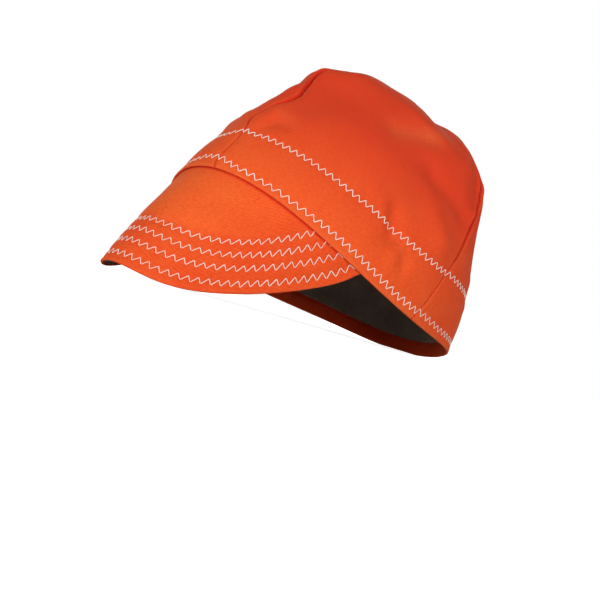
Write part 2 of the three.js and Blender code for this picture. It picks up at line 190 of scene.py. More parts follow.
# Meshes: how close together their rows and columns lie
NEAR_SEAM = np.array([0, 0.25, 0.5, 0.8, 1.15, 1.6, 2.1]) / 150     # shares across a panel
PANEL_MIDDLE = 226
CROWN_RISES = ((1.25, 2.8, 0.5), (2.8, 8.8, 0.5), (9.2, 23.2, 1.2), (23.4, 29.6, 0.5))  # from, to, step
CROWN_UPPER_START, CROWN_UPPER_STEP, CROWN_TOP = 30.2, 1.35, 0.992
PEAK_COLUMNS, PEAK_LENGTHWISE = 421, 128
UNDER_COLUMNS, UNDER_LENGTHWISE = 281, 74
NEAR_RAW_EDGE = np.array([0, 0.4, 0.8, 1.3, 2.0, 2.8, 3.8]) / 64    # shares from the raw edge
LINING_COLUMNS = 192
FOLD_STEPS = np.radians([90, 68, 45, 22, 0])
# The hem's inner face above its fold: rise, depth. And the peak's: distance from the edge, depth.
HEM_INSIDE = (
    (HEM / 2, HEM), (3.4, HEM), (5.6, HEM), (HEM_DEPTH - 0.35, HEM), (HEM_DEPTH - 0.08, HEM - 0.3),
    (HEM_DEPTH + 0.12, CLOTH),
)
PEAK_INSIDE = (
    (HEM / 2, HEM), (PEAK_FOLD - 0.15, HEM), (PEAK_FOLD, HEM - 0.3), (PEAK_FOLD + 0.2, CLOTH),
)


# Curves and noise

def natural_spline(places, values):
    """A natural cubic spline through values at places."""
    x = np.asarray(places, float)
    y = np.asarray(values, float)
    n = len(x)
    span = np.diff(x)
    rows = np.eye(n)
    right = np.zeros(n)
    for i in range(1, n - 1):
        rows[i, i - 1:i + 2] = span[i - 1], 2 * (span[i - 1] + span[i]), span[i]
        right[i] = 6 * ((y[i + 1] - y[i]) / span[i] - (y[i] - y[i - 1]) / span[i - 1])
    bend = np.linalg.solve(rows, right)

    def at(place):
        place = np.asarray(place, float)
        i = np.clip(np.searchsorted(x, place, side="right") - 1, 0, n - 2)
        b = (place - x[i]) / span[i]
        a = 1 - b
        curve = (a ** 3 - a) * bend[i] + (b ** 3 - b) * bend[i + 1]
        return a * y[i] + b * y[i + 1] + curve * span[i] ** 2 / 6
    return at


def bump(distance, width):
    return np.exp(-(distance / width) ** 2)


def fade(value, reach):
    """From 0 to 1 over a reach, in a straight line."""
    return np.clip(value / reach, 0, 1)


def ramp(value, start, end):
    """From 0 at the start to 1 at the end, smoothly."""
    share = fade(value - start, end - start)
    return share * share * (3 - 2 * share)


def unit(vectors):
    return vectors / np.maximum(np.linalg.norm(vectors, axis=-1, keepdims=True), 1e-9)


def walked(points):
    """Distance walked along each line of points."""
    run = np.cumsum(np.linalg.norm(np.diff(points, axis=-2), axis=-1), axis=-1)
    return np.concatenate([np.zeros(run.shape[:-1] + (1,)), run], axis=-1)


def soft_noise(points, size, seed, lattice_size=32):
    """Smooth noise from -1 to 1 in space; size is the width of its swells in millimetres."""
    lattice = np.random.default_rng(seed).uniform(-1, 1, (lattice_size,) * 3)
    place = np.asarray(points) / size
    cell = np.floor(place).astype(int)
    part = ramp(place - cell, 0, 1)
    total = 0.0
    for corner in np.ndindex(2, 2, 2):
        weight = 1.0
        index = []
        for axis, step in enumerate(corner):
            weight = weight * (part[..., axis] if step else 1 - part[..., axis])
            index.append((cell[..., axis] + step) % lattice_size)
        total = total + weight * lattice[tuple(index)]
    return total


def uneven(place, table):
    return sum(height * soft_noise(place, size, seed) for height, size, seed in table)


# The crown's shape

even = np.linspace(0, 1, len(LEVELS))
level = {name: natural_spline(even, column) for name, column in zip(LEVEL_COLUMNS, zip(*LEVELS))}
course_up, course_front, course_left = zip(*SEAM_COURSE)
course = {
    "front": natural_spline(course_up, course_front),
    "left": natural_spline(course_up, course_left),
    "back": np.zeros_like,
    "right": np.zeros_like,
}
UP_TABLE = np.linspace(0, 1, 4001)
RISE_TABLE = np.maximum.accumulate(level["height"](UP_TABLE) * CROWN_HEIGHT)


def up_of(rise):
    """Share of the way up at a height above the lower edge."""
    return np.interp(rise, RISE_TABLE, UP_TABLE)


def seam_side(seam, up):
    return SEAMS[seam] + course[seam](np.asarray(up, float))


def power(value, exponent):
    return np.sign(value) * np.abs(value) ** exponent


def plain_crown(side, up):
    """The crown's outer face without folds."""
    a = np.radians(side)
    exponent = 2 / level["round"](up)
    across = power(np.sin(a), exponent)
    ahead = power(np.cos(a), exponent)
    reach = np.where(ahead > 0, level["front"](up), level["back"](up))
    z = level["height"](up) * CROWN_HEIGHT
    for turns, rise in EDGE_WAVES:
        z = z + rise * (np.cos(turns * a) - 1) * (1 - up)
    return np.stack([level["half"](up) * across, level["shift"](up) - reach * ahead, z], axis=-1)


def crown_outward(side, up, side_step=2.5, up_step=0.012, highest=0.985):
    """Direction away from the crown, from neighbouring places."""
    low = np.maximum(up - up_step, 0)
    high = np.minimum(up + up_step, highest)
    round_head = plain_crown(side + side_step, up) - plain_crown(side - side_step, up)
    climb = plain_crown(side, high) - plain_crown(side, low)
    return unit(np.cross(round_head, climb))


def turn_between(a, b):
    return (a - b + 540) % 360 - 180


def strokes(side, up, table):
    """Sum of long soft strokes, each along a straight line between two places."""
    here = plain_crown(side, up)
    out = 0.0
    for first_side, first_up, last_side, last_up, wide, height in table:
        first = plain_crown(first_side, first_up)
        run = plain_crown(last_side, last_up) - first
        share = np.clip((here - first) @ run / (run @ run), 0, 1)
        away = np.linalg.norm(here - first - share[..., None] * run, axis=-1)
        out = out + height * bump(away, wide)
    return out


ALL_FOLDS = [
    *FOLDS,
    *((side, up, side + STROKE_ROUND, up, STROKE_WIDTH, height) for side, up, height in LEVEL_STROKES),
    *((side, up, side, up + STROKE_UP, STROKE_WIDTH, height) for side, up, height in UPRIGHT_STROKES),
]
FOLD_SIDES = 721
FOLD_UPS = 401
fold_grid = np.meshgrid(np.linspace(0, 360, FOLD_SIDES), np.linspace(0, 1, FOLD_UPS))
fold_table = strokes(*fold_grid, ALL_FOLDS)


def fold_relief(side, up):
    """The folds' height, read from a table."""
    column = np.mod(side, 360) / 360 * (FOLD_SIDES - 1)
    row = np.clip(up, 0, 1) * (FOLD_UPS - 1)
    c = np.minimum(column.astype(int), FOLD_SIDES - 2)
    r = np.minimum(row.astype(int), FOLD_UPS - 2)
    c_part, r_part = column - c, row - r
    low = fold_table[r, c] * (1 - c_part) + fold_table[r, c + 1] * c_part
    high = fold_table[r + 1, c] * (1 - c_part) + fold_table[r + 1, c + 1] * c_part
    return low * (1 - r_part) + high * r_part


def crown_relief(side, up, widest=80):
    """Swells, dents, folds and the valley along each seam."""
    out = 0.0
    for at_side, at_up, wide, tall, height in SWELLS:
        out = out + height * bump(turn_between(side, at_side), wide) * bump(up - at_up, tall)
    radius = np.minimum(level["half"](up), widest)
    depth = SEAM_GROOVE * ramp(up, *GROOVE_STARTS) * (0.5 + 0.5 * ramp(up, *GROOVE_DEEPENS))
    for seam in SEAMS:
        away = np.radians(turn_between(side, seam_side(seam, up))) * radius
        out = out - depth * bump(away, SEAM_GROOVE_WIDTH)
        for at_seam, apart, wide, low, high, height in SEAM_FORMS:
            if at_seam == seam:
                ends = ramp(up - low, 0, 0.05) * ramp(high - up, 0, 0.06)
                out = out + height * bump(away - apart, wide) * ends
    return (out + fold_relief(side, up)) * fade(1 - up, 0.1)


def crown_point(side, up, depth=0.0, depth_side=None):
    """A point below the crown's plain outer face."""
    outward = crown_outward(side, up)
    point = plain_crown(side, up) + outward * crown_relief(side, up)[..., None]
    if depth_side is not None:
        outward = crown_outward(depth_side, up)
    return point - outward * np.asarray(depth)[..., None]


def seam_distance(side, up):
    here = plain_crown(side, up)
    away = [np.linalg.norm(here - plain_crown(seam_side(seam, up), up), axis=-1) for seam in SEAMS]
    return np.min(away, axis=0)


class RowAround:
    """A stitch row round the crown.

    Its length from the front is kept against the side, and is longer where stitches are short.
    """

    def __init__(self, number):
        _, self.rise, self.first_side, pitch = CROWN_ROWS[number]
        self.shifts = [row[number + 1] for row in ROW_SHIFTS]
        self.sides = np.arange(0, 360.01, 0.5)
        points = crown_point(self.sides, up_of(self.rise_at(self.sides)))
        middles = self.sides[:-1] + 0.25
        stitch_sides, stitches = zip(*((row[0], row[number + 1]) for row in STITCH_LENGTHS))
        steps = np.diff(walked(points)) / np.interp(middles, stitch_sides, stitches, period=360)
        self.lengths = np.append(0, np.cumsum(steps))
        self.total = self.lengths[-1]
        self.pitch = self.total / (round(self.total / pitch) + 0.07)

    def rise_at(self, side):
        return self.rise + np.interp(side, [row[0] for row in ROW_SHIFTS], self.shifts, period=360)

    def length_at(self, side):
        return np.interp(np.mod(side, 360), self.sides, self.lengths)

    def side_at(self, length):
        turns = np.floor(length / self.total)
        return np.interp(length - turns * self.total, self.lengths, self.sides) + 360 * turns


crown_rows = [RowAround(number) for number in range(len(CROWN_ROWS))]


def pulled_in(along, across, pitch, width):
    """How far the thread pulls the cloth in, near a zigzag line."""
    phase = np.mod(along / pitch, 1)
    line = (2 * np.abs(2 * phase - 1) - 1) * -width / 2
    near = bump((across - line) * 0.72, 0.75) * bump(np.maximum(np.abs(across) - width / 2, 0), 0.6)
    return 0.28 * near + 0.22 * bump(across, width * 0.9)


def crown_fine(side, up):
    """Fine relief of the crown's outer cloth."""
    place = plain_crown(side, up)
    rise = level["height"](up) * CROWN_HEIGHT
    seam = seam_distance(side, up)
    crease = 0.35 + 0.35 * ramp(up, *ABOVE_BAND)
    ripple = soft_noise(place * (0.15, 0.15, 1.0), 5.0, seed=3)
    pucker = soft_noise(place * (1.0, 1.0, 0.25), 4.5, seed=4)
    out = uneven(place, CROWN_UNEVEN) * np.clip(seam / 6, 0.3, 1)
    out = out - crease * bump(seam, 0.5) + 0.2 * bump(seam - 2.0, 1.3)
    out = out + 0.32 * ripple * bump(seam - 3.0, 3.5)
    for row in crown_rows:
        along = row.length_at(side) - row.length_at(row.first_side)
        across = rise - row.rise_at(side)
        out = out - pulled_in(along, across, row.pitch, CROWN_STITCH) + 0.2 * pucker * bump(across, 5.0)
    low, high = (row.rise for row in crown_rows)
    out = out + 0.35 * np.sin(np.pi * fade(rise - low, high - low))
    return out * fade(1 - up, 0.08)


# The peak's shape

mirrored = [(-s, -x, y, z) for s, x, y, z in PEAK_EDGE[:0:-1]] + list(PEAK_EDGE)
edge_along, *edge_columns = zip(*mirrored)
peak_edge = [natural_spline(edge_along, column) for column in edge_columns]


def peak_ends(along):
    """The peak's root and its edge."""
    lifted = PEAK_ROOT + PEAK_ROOT_RISE * ramp(np.abs(along), 0.8, 1)
    root = crown_point(along * PEAK_SPREAD, 0.0, PEAK_INSET) + lifted[..., None] * (0, 0, 1)
    return root, np.stack([curve(along) for curve in peak_edge], axis=-1)


def peak_length(along):
    root, end = peak_ends(along)
    return np.linalg.norm(end - root, axis=-1)


def peak_outward(along, step=0.04):
    root, end = peak_ends(along)
    left_root, left_end = peak_ends(np.minimum(along + step, 1))
    right_root, right_end = peak_ends(np.maximum(along - step, -1))
    across = unit(left_root - right_root) + unit(left_end - right_end)
    return unit(np.cross(end - root, across))


def peak_point(along, share, depth=0.0):
    """A point below the peak's plain upper face."""
    root, end = peak_ends(along)
    swell = PEAK_SWELL * np.cos(along * math.pi / 2) ** 2 * 4 * share * (1 - share)
    point = root + (end - root) * np.asarray(share)[..., None]
    return point + peak_outward(along) * (swell - depth)[..., None]


def tuck_point(along, rise, depth):
    """A point of the strip of the peak that is sewn in behind the hem."""
    return crown_point(along * PEAK_SPREAD, up_of(rise), PEAK_INSET + depth)


class RowAlong:
    """A stitch row across the peak, its length kept against the place along the peak."""

    def __init__(self, distance):
        self.distance = distance
        along = np.linspace(-1, 1, 801)
        long_enough = peak_length(along) > distance * 0.9
        self.along = along[long_enough]
        self.lengths = walked(peak_point(self.along, 1 - distance / peak_length(self.along)))
        self.total = self.lengths[-1]
        self.pitch = self.total / round(self.total / PEAK_PITCH)

    def length_at(self, along):
        return np.interp(along, self.along, self.lengths)

    def along_at(self, length):
        return np.interp(length, self.lengths, self.along)


peak_rows = [RowAlong(distance) for distance in PEAK_ROWS]


def stitch_spread(along):
    """The peak's stitches are wider near its left end."""
    return 1 + 0.18 * ramp(along, 0.35, 0.65)


def peak_fine(along, share):
    """Fine relief of the peak's upper cloth."""
    length = peak_length(along)
    from_edge = (1 - share) * length
    place = peak_point(along, share)
    out = uneven(place, PEAK_UNEVEN)
    pucker = soft_noise(place, 4.0, seed=13)
    for row in peak_rows:
        across = from_edge - row.distance
        pull = pulled_in(row.length_at(along), across / stitch_spread(along), row.pitch, PEAK_STITCH)
        out = out + fade(length - row.distance, 4) * (0.16 * pucker * bump(across, 4.0) - pull)
    return out * fade(from_edge, 2) * fade(share * length, 4)


def peak_face(along, share):
    """The peak's finished upper face."""
    return peak_point(along, share, -peak_fine(along, share))


# Meshes

lean = math.radians(LEAN)
TURN = np.array([
    [1, 0, 0], [0, math.cos(lean), -math.sin(lean)], [0, math.sin(lean), math.cos(lean)],
])


def standing(points):
    """Leans the cap back onto the floor; what would lie below the floor is pressed flat."""
    placed = points @ TURN.T + STAND
    placed[..., 2] = np.maximum(placed[..., 2], FLOOR_GAP)
    return placed * MM


def add_object(name, data):
    made = bpy.data.objects.new(name, data)
    bpy.context.scene.collection.objects.link(made)
    return made


def make_piece(name, points, triangles, material, uv=None, **layers):
    mesh = bpy.data.meshes.new(name)
    placed = standing(points).astype(np.float32)
    count = len(triangles)
    mesh.vertices.add(len(placed))
    mesh.vertices.foreach_set("co", placed.ravel())
    mesh.loops.add(3 * count)
    mesh.loops.foreach_set("vertex_index", triangles.ravel().astype(np.int32))
    mesh.polygons.add(count)
    mesh.polygons.foreach_set("loop_start", np.arange(0, 3 * count, 3, dtype=np.int32))
    mesh.polygons.foreach_set("use_smooth", np.ones(count, bool))
    if uv is not None:
        layer = mesh.uv_layers.new(name="cloth_mm")
        layer.data.foreach_set("uv", uv[triangles.ravel()].astype(np.float32).ravel())
    for layer_name, values in layers.items():
        layer = mesh.attributes.new(layer_name, "FLOAT", "POINT")
        layer.data.foreach_set("value", values.astype(np.float32))
    mesh.update(calc_edges=True)
    mesh.validate()
    mesh.materials.append(material)
    piece = add_object(name, mesh)
    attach(piece, "root")
    return piece


def grid_triangles(index, ring=False):
    """Two triangles for each cell of a grid of point numbers."""
    if ring:
        index = np.concatenate([index, index[:, :1]], axis=1)
    a, b, d, e = index[:-1, :-1], index[:-1, 1:], index[1:, :-1], index[1:, 1:]
    return np.stack([a, b, e, a, e, d], axis=-1).reshape(-1, 3)


def zipper(first, second, first_key, second_key):
    """Triangles between two lines of points, walked together by their keys."""
    made = []
    i = j = 0
    while i < len(first) - 1 or j < len(second) - 1:
        first_ends, second_ends = i == len(first) - 1, j == len(second) - 1
        if second_ends or (not first_ends and first_key[i + 1] <= second_key[j + 1]):
            made.append((first[i], second[j], first[i + 1]))
            i += 1
        else:
            made.append((first[i], second[j], second[j + 1]))
            j += 1
    return np.array(made)


def both(outer, inner, width=()):
    """Values of the outer and the inner grid in one list."""
    return np.concatenate([outer.reshape(-1, *width), inner.reshape(-1, *width)])


def cloth_piece(name, outer, inner, keys, material, uv=None, folded=True, **layers):
    """Cloth between an outer and an inner grid of points, which meet at its fold if it has one.

    The keys say how far along each row of a grid lies, for the sides' triangles; without them
    the grids close into a ring. Points that coincide become one, and faces that vanish go.
    """
    columns = outer.shape[1]
    points = both(outer, inner, (3,))
    outside, inside = np.split(np.arange(len(points)).reshape(-1, columns), [len(outer)])
    ring = keys is None
    strips = [np.stack([outside[-1], inside[-1]])]
    if not folded:
        strips.append(np.stack([inside[0], outside[0]]))
    faces = [grid_triangles(index, ring) for index in (outside, *strips)]
    faces.append(grid_triangles(inside, ring)[:, ::-1])
    if not ring:
        for column, turn in ((0, -1), (-1, 1)):
            lines = (outside[:, column], inside[:, column], keys[0][:, column], keys[1][:, column])
            faces.append(zipper(*lines)[:, ::turn])
    cells = np.round(points / 1e-4).astype(np.int64)
    _, first, back = np.unique(cells, axis=0, return_index=True, return_inverse=True)
    triangles = back.reshape(-1)[np.concatenate(faces)]
    a, b, c = triangles.T
    triangles = triangles[(a != b) & (b != c) & (c != a)]
    layers = {layer: values[first] for layer, values in layers.items()}
    return make_piece(name, points[first], triangles, material, None if uv is None else uv[first], **layers)


def outer_fold():
    """Rise and depth of the outer half of a rounded fold, from its tip."""
    radius = HEM / 2
    return radius * (1 - np.sin(FOLD_STEPS)), radius * (1 - np.cos(FOLD_STEPS))


# The crown's cloth

def crown_heights():
    """Shares of the way up of the outer cloth's rows, close together at the stitching."""
    rises = np.concatenate([np.arange(*spacing) for spacing in CROWN_RISES])
    fine = np.linspace(up_of(CROWN_UPPER_START), CROWN_TOP, 400)
    lengths = walked(plain_crown(45.0, fine))
    upper = np.interp(np.arange(0, lengths[-1], CROWN_UPPER_STEP), lengths, fine)
    return np.concatenate([up_of(rises), upper])


def panel_sides(start_seam, end_seam, up):
    """Sides and distances from the start seam of a panel's columns, for every row, and its seams' sides."""
    shares = np.concatenate([
        NEAR_SEAM[:-1], np.linspace(NEAR_SEAM[-1], 1 - NEAR_SEAM[-1], PANEL_MIDDLE), 1 - NEAR_SEAM[-2::-1],
    ])
    start = seam_side(start_seam, up)
    end = seam_side(end_seam, up)
    end = np.where(end < start, end + 360, end)
    steps = (1 - np.cos(np.pi * np.linspace(0, 1, 241))) / 2
    sides = start[:, None] + (end - start)[:, None] * steps
    lengths = walked(plain_crown(sides, up[:, None]))
    total = lengths[:, -1:]
    gap = np.minimum(SEAM_GAP, 0.2 * total)
    wanted = gap + (total - 2 * gap) * shares
    made = np.array([np.interp(w, length, side) for w, length, side in zip(wanted, lengths, sides)])
    return made, wanted, start, end


def with_tip(grid, tip):
    """The grid with one more row, whose points all lie at the tip."""
    return np.concatenate([grid, np.broadcast_to(tip, grid[:1].shape)])


def cloth_place(across, climb):
    """A panel's flat places: distance from its middle, and distance walked up."""
    return np.stack([across - across[:, -1:] / 2, climb[:, None] + 0 * across], axis=-1)


def crown_panel(name, start_seam, end_seam, material):
    fold_rise, fold_depth = outer_fold()
    heights = crown_heights()
    outer_up = np.concatenate([up_of(fold_rise[:-1]), heights])
    outer_depth = np.concatenate([fold_depth[:-1], np.zeros(len(heights))])
    inside_rise, inside_depth = zip(*HEM_INSIDE)
    kept = heights[heights > up_of(HEM_DEPTH + 0.6)][::7]
    inner_up = np.concatenate([up_of(fold_rise[:-1]), up_of(inside_rise), kept])
    inner_depth = np.concatenate([HEM - fold_depth[:-1], inside_depth, np.full(len(kept), CLOTH)])

    sides, across, _, _ = panel_sides(start_seam, end_seam, outer_up)
    up = outer_up[:, None]
    fine = crown_fine(sides, up) * fade(1 - outer_depth / 1.25, 1)[:, None]
    outer = crown_point(sides, up, outer_depth[:, None] - fine)
    inner_sides, inner_across, start, end = panel_sides(start_seam, end_seam, inner_up)
    depth_sides = inner_sides.copy()
    depth_sides[:, 0] = start
    depth_sides[:, -1] = end
    inner = crown_point(inner_sides, inner_up[:, None], inner_depth[:, None], depth_sides)

    middle = math.radians((SEAMS[start_seam] + (SEAMS[end_seam] or 360)) / 2)
    top = plain_crown(0.0, 1.0) + 0.3 * np.array([math.sin(middle), -math.cos(middle), 0])
    keys = with_tip(up + 0 * sides, 1), with_tip(inner_up[:, None] + 0 * inner_sides, 1)

    climb = walked(outer[:, outer.shape[1] // 2])
    outer_uv = cloth_place(across, climb)
    inner_uv = cloth_place(inner_across, -np.interp(inner_up, outer_up, climb))
    uv = both(with_tip(outer_uv, (0, climb[-1] + 1)), with_tip(inner_uv, (0, -climb[-1])), (2,))
    width = across[:, -1:]
    seam = np.minimum(across, width - across)
    edge_wear = bump(level["height"](up) * CROWN_HEIGHT - 0.4, 1.3)
    # Paler cloth: real wear along the lower edge and beside the seams, plus a painted sheen from the sheen
    # strokes.
    worn = np.maximum(edge_wear, 0.6 * bump(seam - 1.3, 0.9)) + strokes(sides, up, PAINTED_SHEEN_STROKES)
    above = ramp(up, *ABOVE_BAND)
    # Painted shade in the seams' creases, darker and wider above the band.
    crease = bump(seam, 0.6 + 0.5 * above) * (0.6 + 0.4 * above)
    plain = np.zeros((len(inner) + 1, inner.shape[1]))
    piece = cloth_piece(
        name + "_cloth", with_tip(outer, top), with_tip(inner, top - (0, 0, CLOTH)), keys, material, uv,
        worn=both(with_tip(worn, 0), plain), crease=both(with_tip(crease, 0), plain),
    )
    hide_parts(name)
    return piece


def crown_lining(material):
    rises = np.concatenate([[HEM_DEPTH + 0.75, HEM_DEPTH + 1.6], np.arange(11, 30, 2.4)])
    up = np.concatenate([up_of(rises), np.linspace(up_of(31), 0.97, 40)])[:, None]
    sides = np.linspace(0, 360, LINING_COLUMNS, endpoint=False)
    near = CLOTH + LINING_EASE
    outer = crown_point(sides, up, near)
    ease = 0.5 + 0.5 * soft_noise(plain_crown(sides, up), 15, seed=21)
    seam = seam_distance(sides, up)
    thick = LINING + 0.7 * ease * fade(up - up[0], 0.04) * fade(seam, 5) + 0.5 * bump(seam, 1.6)
    inner = crown_point(sides, up, near + thick)
    tip = plain_crown(0.0, 1.0) - (0, 0, near + 0.3)
    worn = 0.6 * with_tip(bump(seam, 1.4), 0)
    piece = cloth_piece(
        "crown_lining_cloth", with_tip(outer, tip), with_tip(inner, tip - (0, 0, LINING)), None, material,
        folded=False, worn=both(0 * worn, worn),
    )
    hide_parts("crown_lining")
    return piece


# The peak's cloth

def peak_columns(count):
    """Places along the peak, evenly spaced along its edge."""
    along = np.linspace(-1, 1, 1601)
    lengths = walked(peak_ends(along)[1])
    return np.interp(np.linspace(0, lengths[-1], count), lengths, along)


def fold_size(length):
    """Share of its usual size that the fold has; it shrinks at the peak's ends."""
    return np.minimum(1, 0.4 * length / PEAK_FOLD)


def peak_top(material):
    along = peak_columns(PEAK_COLUMNS)
    length = peak_length(along)
    size = fold_size(length)
    fold_rise, fold_depth = outer_fold()

    def row(away, depth):
        return peak_point(along, 1 - away / length, depth)

    def spaced(start, count):
        return [start + (length - start) * share for share in np.linspace(0, 1, count)[1:]]

    face = spaced(HEM / 2 * size, PEAK_LENGTHWISE)
    tucks = (2.2, 4.4, PEAK_TUCK)
    outer = [row(rise * size, depth) for rise, depth in zip(fold_rise, fold_depth)]
    outer += [peak_face(along, 1 - away / length) for away in face]
    outer += [tuck_point(along, rise, 0.0) for rise in tucks]
    outer_from = np.array([*(rise * size for rise in fold_rise), *face, *(length + rise for rise in tucks)])

    inside = [(rise, HEM - depth) for rise, depth in zip(fold_rise[:-1], fold_depth[:-1])] + list(PEAK_INSIDE)
    back = spaced(PEAK_INSIDE[-1][0] * size, 14)
    inner = [row(away * size, depth) for away, depth in inside] + [row(away, CLOTH) for away in back]
    inner.append(tuck_point(along, PEAK_TUCK, CLOTH))
    inner_from = np.array([*(away * size for away, _ in inside), *back, length + PEAK_TUCK])

    place = walked(peak_ends(along)[1])
    place = place - place[-1] / 2
    grain = math.radians(PEAK_GRAIN)
    turn = np.array([[math.cos(grain), math.sin(grain)], [-math.sin(grain), math.cos(grain)]])
    outer_uv, inner_uv = (
        np.stack([place * (1 - 0.25 * fade(away, 70)), side * away], axis=-1)
        for away, side in ((outer_from, 1), (inner_from, -1))
    )
    # Painted shade under the hem's edge, and a lighter painted shade over the stitched rows and towards the
    # peak's ends.
    rows_and_ends_shade = np.maximum(ramp(35 - outer_from, 0, 7), ramp(np.abs(along), 0.35, 0.7))
    crease = np.maximum(bump(np.maximum(length - outer_from, 0), 1.3), 0.3 * rows_and_ends_shade)
    piece = cloth_piece(
        "peak_upper_cloth", np.array(outer), np.array(inner), (outer_from, inner_from), material,
        both(outer_uv, inner_uv, (2,)) @ turn,
        worn=both(bump(outer_from - 0.6, 1.5), bump(inner_from, 1.0)), crease=both(crease, 0 * inner_from),
    )
    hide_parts("peak_top")
    return piece


def peak_lining(material):
    along = peak_columns(UNDER_COLUMNS)
    length = peak_length(along)
    start = (PEAK_FOLD + RAW_EDGE) * fold_size(length)
    near = CLOTH + PEAK_GAP
    far = near + PEAK_LINING
    shares = np.concatenate([NEAR_RAW_EDGE[:-1], np.linspace(NEAR_RAW_EDGE[-1], 1, UNDER_LENGTHWISE)])
    away = start + (length - start) * shares[:, None]
    rough = uneven(peak_point(along, 1 - away / length, far), UNDER_UNEVEN)
    for row in peak_rows:
        rough = rough - 0.2 * bump(away - row.distance, 2.0) * fade(length - row.distance, 4)
    fine = rough * fade(away - start, 2) * fade(length - away, 4)
    lower = np.concatenate([
        peak_point(along, 1 - away / length, far + fine), [tuck_point(along, PEAK_TUCK, far)],
    ])
    upper_away = away[[0, 6, 20, 34, 48, 62, -1]]
    upper = np.concatenate([
        peak_point(along, 1 - upper_away / length, near), [tuck_point(along, PEAK_TUCK, near)],
    ])
    upper_from = np.concatenate([upper_away, [length + PEAK_TUCK]])
    lower_from = np.concatenate([away, [length + PEAK_TUCK]])
    worn = fade(1.25 - both(upper_from - start, lower_from - start) / 2, 1)
    keys = upper_from, lower_from
    piece = cloth_piece("peak_lining_cloth", upper, lower, keys, material, folded=False, worn=worn)
    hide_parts("peak_lining")
    return piece


# Thread and frayed edge

def tubes(lines, normals, radii, flat=0.8, sides=6):
    """Closed tubes along lines of points, all with the same number of points."""
    count, steps = lines.shape[:2]
    tangent = unit(np.gradient(lines, axis=1))
    across = unit(np.cross(tangent, normals))
    lift = np.cross(across, tangent)
    turn = np.arange(sides)[:, None] * 2 * math.pi / sides
    ring = across[:, :, None] * np.cos(turn) + lift[:, :, None] * (np.sin(turn) * flat)
    points = lines[:, :, None] + ring * radii[..., None, None]
    index = np.arange(steps * sides).reshape(steps, sides)
    end = index[-1, 0]
    caps = [cap for k in range(1, sides - 1) for cap in ((0, k + 1, k), (end, end + k, end + k + 1))]
    cells = np.concatenate([grid_triangles(index, ring=True), caps])
    triangles = (cells[None] + (np.arange(count) * index.size)[:, None, None]).reshape(-1, 3)
    return points.reshape(-1, 3), triangles


def zigzag(spot, start, end, pitch, width, seed, radius, setback=0.16):
    """Thread of a zigzag row, in stretches from one lower hole over an upper one to the next."""
    random = np.random.default_rng(seed)
    count = int((end - start) / pitch)
    low = start + np.arange(count + 1) * pitch + random.normal(0, 0.09, count + 1)
    low_across = -width / 2 + random.normal(0, 0.08, count + 1)
    high = start + (np.arange(count) + 0.5) * pitch + random.normal(0, 0.09, count)
    high_across = width / 2 + random.normal(0, 0.08, count)
    first = np.linspace(0, 1, 8) * (1 - setback)
    corner = np.linspace(0, 1, 6)[1:-1]

    def between(lows, highs):
        p0, p1, p2 = lows[:-1, None], highs[:, None], lows[1:, None]
        rise = p0 + (p1 - p0) * first
        before, after = p0 + (p1 - p0) * (1 - setback), p1 + (p2 - p1) * setback
        bend = (1 - corner) ** 2 * before + 2 * corner * (1 - corner) * p1 + corner ** 2 * after
        fall = p1 + (p2 - p1) * (setback + first)
        return np.concatenate([rise, bend, fall], axis=1)
    points, normals = spot(between(low, high), between(low_across, high_across))
    run = walked(points)
    total = run[:, -1:]
    from_end = np.minimum(run, total - run)
    lift = 0.17 - 0.5 * bump(from_end, 0.42) - 0.1 * bump(np.abs(run - total / 2), 0.45)
    radii = radius * (1 + 0.06 * random.normal(0, 1, (count, 1))) * (1 + 0.05 * np.sin(run * 9.0))
    return tubes(points + normals * lift[..., None], normals, radii)


def crown_stitches(name, row, seed, material):
    begin = row.length_at(row.first_side)

    def spot(along, across):
        side = row.side_at(begin + along)
        up = up_of(row.rise_at(side) + across)
        return crown_point(side, up, -crown_fine(side, up)), crown_outward(side, up)
    points, triangles = zigzag(spot, 0.0, row.total + 0.6 * row.pitch, row.pitch, CROWN_STITCH, seed, THREAD)
    return make_piece(name, points, triangles, material)


def peak_stitches(name, row, seed, material):
    def spot(along, across):
        place = row.along_at(along)
        share = 1 - (row.distance + across * stitch_spread(place)) / peak_length(place)
        return peak_face(place, share), peak_outward(place)
    points, triangles = zigzag(spot, 0.0, row.total + 0.01, row.pitch, PEAK_STITCH, seed, PEAK_THREAD)
    return make_piece(name, points, triangles, material)


def under_stitches(name, row, seed, material, sunk=0.2, margin=3.0):
    depth = CLOTH + PEAK_GAP + PEAK_LINING - sunk

    def spot(along, across):
        place = row.along_at(along)
        share = np.clip(1 - (row.distance + across) / peak_length(place), 0, 1)
        return peak_point(place, share, depth), -peak_outward(place)
    end = row.total - margin
    points, triangles = zigzag(spot, margin, end, PEAK_PITCH / 2, PEAK_STITCH * 1.1, seed, UNDER_THREAD)
    return make_piece(name, points, triangles, material)


def frayed_edge(material):
    """Loose yarn ends along the raw edge of the peak's lining."""
    random = np.random.default_rng(41)
    along = peak_columns(1201)[random.integers(40, 1161, 2600)]
    along = along[peak_length(along) > 9]
    count = len(along)
    length = peak_length(along)
    depth = CLOTH + PEAK_GAP + random.uniform(0.1, PEAK_LINING + 0.1, count)
    start = PEAK_FOLD + RAW_EDGE + random.uniform(0, 2.2, count)
    reach = random.uniform(0.5, 1.9, count)
    skew = random.normal(0, 0.006, count)
    drop = random.uniform(-0.1, 0.55, count)
    steps = np.linspace(0, 1, 5)
    lines = np.stack([
        peak_point(along + skew * t, 1 - np.maximum(start - reach * t, 0.4) / length, depth + drop * t ** 1.5)
        for t in steps
    ], axis=1)
    normals = np.broadcast_to(peak_outward(along)[:, None], lines.shape)
    radii = random.uniform(0.06, 0.13, (count, 1)) * (1 - 0.6 * steps)
    points, triangles = tubes(lines, normals, radii, flat=1.0, sides=3)
    return make_piece("peak_frayed_edge", points, triangles, material)


# Materials; a pitch along the cloth is in millimetres, and colours are in linear light

